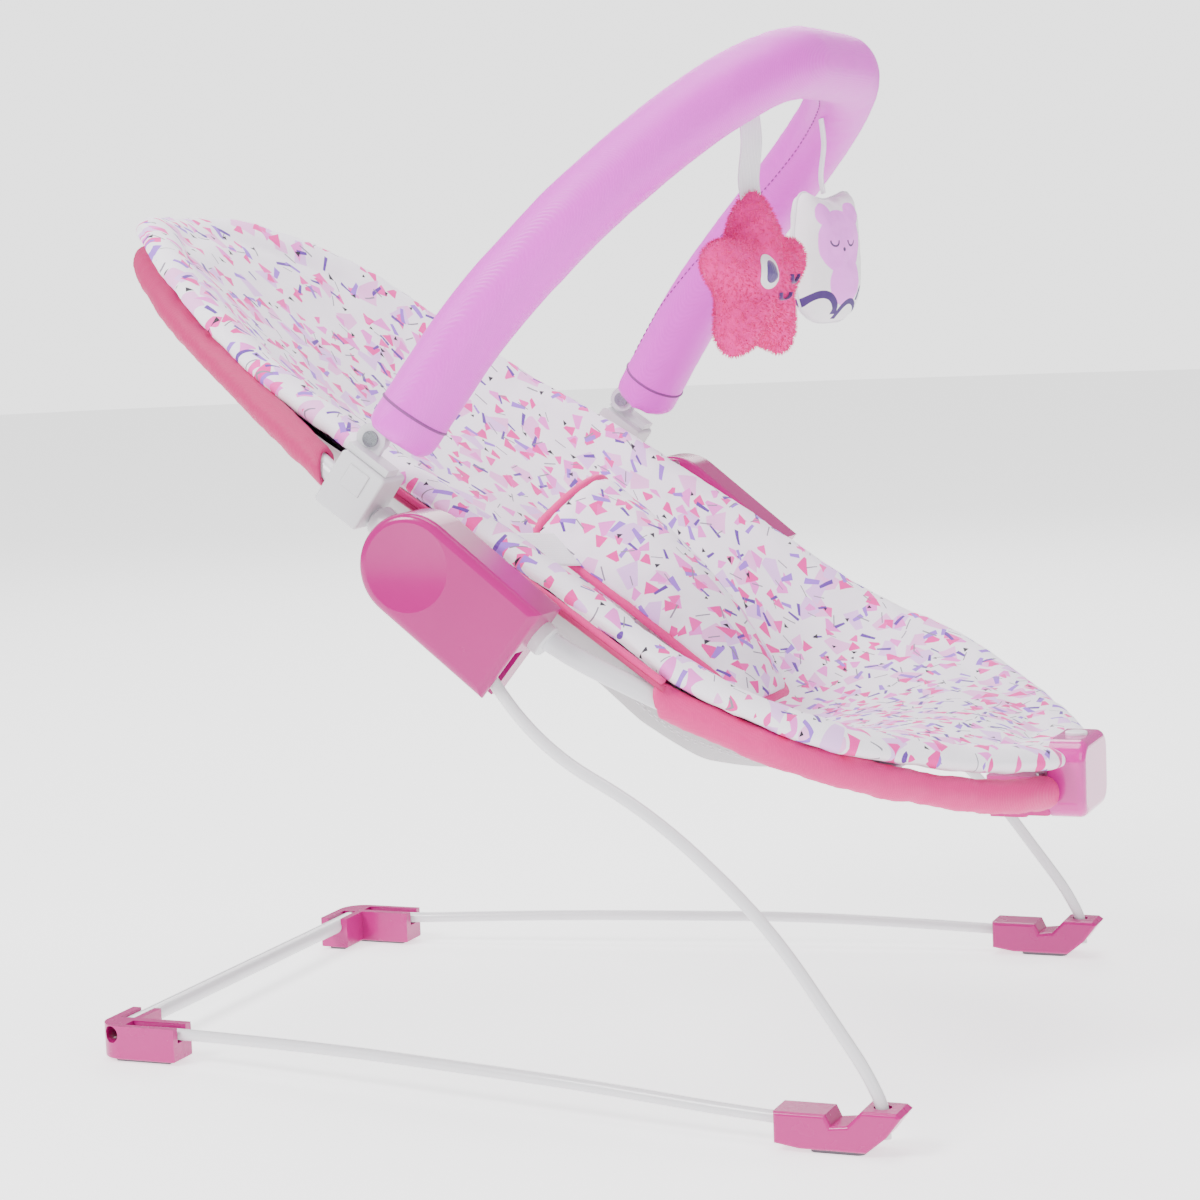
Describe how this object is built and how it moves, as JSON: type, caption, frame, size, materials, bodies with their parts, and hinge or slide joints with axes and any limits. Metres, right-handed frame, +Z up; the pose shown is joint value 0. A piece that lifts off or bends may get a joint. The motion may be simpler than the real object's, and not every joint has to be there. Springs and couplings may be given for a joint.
{
  "type": "bouncer seat",
  "caption": "Baby bouncer seat: padded sling on tube hoops, hub housings, sprung rod legs on a floor frame, removable toy bar with hanging toys, vibration unit.",
  "frame": {"origin": "on the floor under the middle of the bounding box", "axes": "+X towards the foot end, +Y towards the child's left, +Z up"},
  "size_m": [0.601, 0.482, 0.601],
  "materials": {
    "white_rod": "satin white powder coat",
    "hub_pink": "glossy magenta moulding",
    "foot_pink": "glossy pink moulding",
    "grey_plastic": "light grey moulding",
    "rubber_grey": "soft grey rubber",
    "zinc": "zinc-plated steel",
    "pin_steel": "turned steel",
    "terrazzo_cloth": "brushed cotton print",
    "terrazzo_tongue": "brushed cotton print",
    "sling_cloth": "light grey polyester",
    "deep_pink_cloth": "deep pink binding",
    "bright_pink_cloth": "bright pink binding",
    "webbing": "white webbing",
    "sleeve_cloth": "lilac satin sleeve",
    "ribbon": "white ribbon",
    "plush_pink": "hot pink plush",
    "bear_print": "printed cotton",
    "unit_clear_pink": "translucent pink moulding",
    "unit_pink": "pink moulding",
    "button_white": "white moulding",
    "battery_wrap": "plastic wrap",
    "motor_metal": "plated can"
  },
  "bodies": {
    "base": {"rear_bar": "white_rod", "rail_wire_right": "white_rod", "rail_wire_left": "white_rod", "rear_foot_right": "foot_pink", "rear_foot_left": "foot_pink", "rear_foot_pad_right": "rubber_grey", "rear_foot_pad_left": "rubber_grey", "front_foot_right": "foot_pink", "front_foot_left": "foot_pink", "front_foot_pad_right": "rubber_grey", "front_foot_pad_left": "rubber_grey", "foot_screws": "zinc"},
    "legs": {"leg_wire_right": "white_rod", "leg_wire_left": "white_rod", "leg_knuckle_right": "pin_steel", "leg_knuckle_left": "pin_steel"},
    "seat": {"back_hoop": "white_rod", "seat_hoop": "white_rod", "hub_cover_right": "hub_pink", "hub_cover_left": "hub_pink", "hub_base_right": "hub_pink", "hub_base_left": "hub_pink", "hub_pivot_pin_right": "pin_steel", "hub_pivot_pin_left": "pin_steel", "hub_screws": "zinc", "hub_collar_right": "grey_plastic", "hub_collar_left": "grey_plastic", "hub_socket_right": "grey_plastic", "hub_socket_left": "grey_plastic", "seat_pad": "terrazzo_cloth", "seat_sling": "sling_cloth", "back_edge_wrap": "deep_pink_cloth", "foot_edge_wrap": "bright_pink_cloth", "side_piping": "deep_pink_cloth", "crotch_pad": "terrazzo_tongue", "waist_strap_right": "webbing", "waist_strap_left": "webbing", "toy_bar_bracket_right": "grey_plastic", "toy_bar_bracket_left": "grey_plastic", "unit_front_shell": "unit_clear_pink", "unit_rear_shell": "unit_pink", "vibration_motor": "motor_metal", "battery_cell": "battery_wrap", "unit_screws": "zinc"},
    "latch_right": {"bracket_button_right": "grey_plastic"},
    "latch_left": {"bracket_button_left": "grey_plastic"},
    "bar_ends": {"bar_end_right": "grey_plastic", "bar_end_left": "grey_plastic", "bar_rivet_right": "pin_steel", "bar_rivet_left": "pin_steel"},
    "toy_bar": {"toy_bar_core": "grey_plastic", "toy_bar_sleeve": "sleeve_cloth"},
    "star_ribbon": {"star_strap": "ribbon"},
    "star": {"star_toy": "plush_pink"},
    "bear_ribbon": {"bear_strap": "ribbon"},
    "bear": {"bear_toy": "bear_print"},
    "power_button": {"unit_button": "button_white"},
    "eccentric": {"motor_weight": "motor_metal"},
    "door": {"battery_door": "unit_pink"}
  },
  "joints": [
    {"name": "bounce", "type": "hinge", "parent": "base", "child": "legs", "pos_m": [0.236, 0, 0.014], "axis": [0, 1, 0], "range_deg": [-6, 3], "stiffness_Nm_per_rad": 240, "springref_deg": 1.39},
    {"name": "recline", "type": "hinge", "parent": "legs", "child": "seat", "pos_m": [-0.03, 0, 0.308], "axis": [0, 1, 0], "range_deg": [0, 12]},
    {"name": "latch_press_right", "type": "slide", "parent": "seat", "child": "latch_right", "axis": [0, 1, 0], "range_m": [0, 0.0025], "stiffness_N_per_m": 600},
    {"name": "latch_press_left", "type": "slide", "parent": "seat", "child": "latch_left", "axis": [0, -1, 0], "range_m": [0, 0.0025], "stiffness_N_per_m": 600},
    {"name": "toy_bar_lift", "type": "slide", "parent": "seat", "child": "bar_ends", "axis": [0.5924, 0, 0.8057], "range_m": [0, 0.04]},
    {"name": "toy_bar_tilt", "type": "hinge", "parent": "bar_ends", "child": "toy_bar", "pos_m": [-0.06192, 0, 0.37733], "axis": [0, 1, 0], "range_deg": [-30, 15]},
    {"name": "star_ribbon_swing", "type": "hinge", "parent": "toy_bar", "child": "star_ribbon", "pos_m": [0.129, -0.085, 0.5435], "axis": [0.4831, 0.8756, 0], "range_deg": [-40, 40]},
    {"name": "star_swing", "type": "hinge", "parent": "star_ribbon", "child": "star", "pos_m": [0.129, -0.085, 0.5082], "axis": [0.4831, 0.8756, 0], "range_deg": [-35, 35]},
    {"name": "bear_ribbon_swing", "type": "hinge", "parent": "toy_bar", "child": "bear_ribbon", "pos_m": [0.119, 0.08, 0.5435], "axis": [0.4831, -0.8756, 0], "range_deg": [-40, 40]},
    {"name": "bear_swing", "type": "hinge", "parent": "bear_ribbon", "child": "bear", "pos_m": [0.119, 0.08, 0.5082], "axis": [0.4831, -0.8756, 0], "range_deg": [-35, 35]},
    {"name": "power_press", "type": "slide", "parent": "seat", "child": "power_button", "axis": [0, 0, -1], "range_m": [0, 0.0015], "stiffness_N_per_m": 500},
    {"name": "eccentric_spin", "type": "hinge", "parent": "seat", "child": "eccentric", "pos_m": [0.2892, 0.0075, 0.1735], "axis": [0, 1, 0], "continuous": true},
    {"name": "door_slide", "type": "slide", "parent": "seat", "child": "door", "axis": [-1, 0, 0], "range_m": [0, 0.025]}
  ]
}
